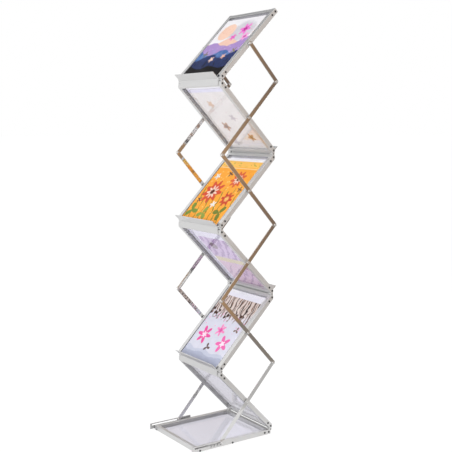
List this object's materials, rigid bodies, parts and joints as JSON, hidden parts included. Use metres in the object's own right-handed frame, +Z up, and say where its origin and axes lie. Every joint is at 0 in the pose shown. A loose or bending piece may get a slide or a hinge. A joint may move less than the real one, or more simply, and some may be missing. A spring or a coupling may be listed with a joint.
{
  "type": "folding brochure stand",
  "caption": "Free-standing zig-zag brochure stand of clear panels in slim metal frames with upright lips, on a flat base, held by crossed bars and folding down flat.",
  "frame": {"origin": "on the floor, under the middle of the stand's box", "axes": "+Z up, -Y to the front, where the base reaches out, +X to the right seen from the front"},
  "size_m": [0.278, 0.356, 1.4444],
  "materials": {
    "anodised_aluminium": "satin anodised",
    "clear_acrylic": "clear, polished",
    "polished_chrome": "polished",
    "black_steel": "satin black",
    "printed_paper": "coated"
  },
  "bodies": {
    "base": {"base_left_rail": "anodised_aluminium", "base_right_rail": "anodised_aluminium", "base_front_rail": "anodised_aluminium", "base_rear_rail": "anodised_aluminium", "base_sheet": "clear_acrylic", "base_guides": "anodised_aluminium", "base_fasteners": "black_steel"},
    "panel_1": {"panel_1_left_rail": "anodised_aluminium", "panel_1_right_rail": "anodised_aluminium", "panel_1_lower_rail": "anodised_aluminium", "panel_1_upper_rail": "anodised_aluminium", "panel_1_sheet": "clear_acrylic", "panel_1_fasteners": "black_steel"},
    "lattice_1": {"left_bar_1": "polished_chrome", "right_bar_1": "polished_chrome"},
    "panel_2": {"panel_2_left_rail": "anodised_aluminium", "panel_2_right_rail": "anodised_aluminium", "panel_2_lower_rail": "anodised_aluminium", "panel_2_upper_rail": "anodised_aluminium", "panel_2_sheet": "clear_acrylic", "panel_2_fasteners": "black_steel", "panel_2_brochure": "printed_paper"},
    "lattice_2": {"left_bar_2": "polished_chrome", "right_bar_2": "polished_chrome"},
    "panel_3": {"panel_3_left_rail": "anodised_aluminium", "panel_3_right_rail": "anodised_aluminium", "panel_3_lower_rail": "anodised_aluminium", "panel_3_upper_rail": "anodised_aluminium", "panel_3_sheet": "clear_acrylic", "panel_3_fasteners": "black_steel", "panel_3_brochure": "printed_paper"},
    "lattice_3": {"left_bar_3": "polished_chrome", "right_bar_3": "polished_chrome"},
    "panel_4": {"panel_4_left_rail": "anodised_aluminium", "panel_4_right_rail": "anodised_aluminium", "panel_4_lower_rail": "anodised_aluminium", "panel_4_upper_rail": "anodised_aluminium", "panel_4_sheet": "clear_acrylic", "panel_4_fasteners": "black_steel", "panel_4_brochure": "printed_paper"},
    "lattice_4": {"left_bar_4": "polished_chrome", "right_bar_4": "polished_chrome"},
    "panel_5": {"panel_5_left_rail": "anodised_aluminium", "panel_5_right_rail": "anodised_aluminium", "panel_5_lower_rail": "anodised_aluminium", "panel_5_upper_rail": "anodised_aluminium", "panel_5_sheet": "clear_acrylic", "panel_5_fasteners": "black_steel", "panel_5_brochure": "printed_paper"},
    "lattice_5": {"left_bar_5": "polished_chrome", "right_bar_5": "polished_chrome"},
    "panel_6": {"panel_6_left_rail": "anodised_aluminium", "panel_6_right_rail": "anodised_aluminium", "panel_6_lower_rail": "anodised_aluminium", "panel_6_upper_rail": "anodised_aluminium", "panel_6_sheet": "clear_acrylic", "panel_6_fasteners": "black_steel", "panel_6_brochure": "printed_paper"},
    "lattice_6": {"left_bar_6": "polished_chrome", "right_bar_6": "polished_chrome"}
  },
  "joints": [
    {"name": "fold", "type": "hinge", "parent": "base", "child": "panel_1", "pos_m": [0, 0.14887, 0.0165], "axis": [1, 0, 0], "range_deg": [0, 45.9]},
    {"name": "hinge_1_2", "type": "hinge", "parent": "panel_1", "child": "panel_2", "pos_m": [0, -0.05814, 0.25454], "axis": [1, 0, 0], "range_deg": [-91.8, 0]},
    {"name": "hinge_2_3", "type": "hinge", "parent": "panel_2", "child": "panel_3", "pos_m": [0, 0.14887, 0.49258], "axis": [1, 0, 0], "range_deg": [0, 91.8]},
    {"name": "hinge_3_4", "type": "hinge", "parent": "panel_3", "child": "panel_4", "pos_m": [0, -0.05814, 0.73062], "axis": [1, 0, 0], "range_deg": [-91.8, 0]},
    {"name": "hinge_4_5", "type": "hinge", "parent": "panel_4", "child": "panel_5", "pos_m": [0, 0.14887, 0.96866], "axis": [1, 0, 0], "range_deg": [0, 91.8]},
    {"name": "hinge_5_6", "type": "hinge", "parent": "panel_5", "child": "panel_6", "pos_m": [0, -0.05814, 1.2067], "axis": [1, 0, 0], "range_deg": [-91.8, 0]},
    {"name": "lattice_pivot_1", "type": "hinge", "parent": "panel_1", "child": "lattice_1", "pos_m": [0, 0.04536, 0.13552], "axis": [1, 0, 0], "range_deg": [-90.64, 0]},
    {"name": "lattice_pivot_2", "type": "hinge", "parent": "panel_2", "child": "lattice_2", "pos_m": [0, 0.04536, 0.37356], "axis": [1, 0, 0], "range_deg": [0, 90.64]},
    {"name": "lattice_pivot_3", "type": "hinge", "parent": "panel_3", "child": "lattice_3", "pos_m": [0, 0.04536, 0.6116], "axis": [1, 0, 0], "range_deg": [-90.64, 0]},
    {"name": "lattice_pivot_4", "type": "hinge", "parent": "panel_4", "child": "lattice_4", "pos_m": [0, 0.04536, 0.84964], "axis": [1, 0, 0], "range_deg": [0, 90.64]},
    {"name": "lattice_pivot_5", "type": "hinge", "parent": "panel_5", "child": "lattice_5", "pos_m": [0, 0.04536, 1.08768], "axis": [1, 0, 0], "range_deg": [-90.64, 0]},
    {"name": "lattice_pivot_6", "type": "hinge", "parent": "panel_6", "child": "lattice_6", "pos_m": [0, 0.04536, 1.32572], "axis": [1, 0, 0], "range_deg": [0, 90.64]}
  ],
  "couplings": [
    {"joint": "hinge_1_2", "follows": "fold", "ratio": -2},
    {"joint": "hinge_2_3", "follows": "fold", "ratio": 2},
    {"joint": "hinge_3_4", "follows": "fold", "ratio": -2},
    {"joint": "hinge_4_5", "follows": "fold", "ratio": 2},
    {"joint": "hinge_5_6", "follows": "fold", "ratio": -2},
    {"joint": "lattice_pivot_1", "follows": "fold", "ratio": -1.9746},
    {"joint": "lattice_pivot_2", "follows": "fold", "ratio": 1.9746},
    {"joint": "lattice_pivot_3", "follows": "fold", "ratio": -1.9746},
    {"joint": "lattice_pivot_4", "follows": "fold", "ratio": 1.9746},
    {"joint": "lattice_pivot_5", "follows": "fold", "ratio": -1.9746},
    {"joint": "lattice_pivot_6", "follows": "fold", "ratio": 1.9746}
  ]
}
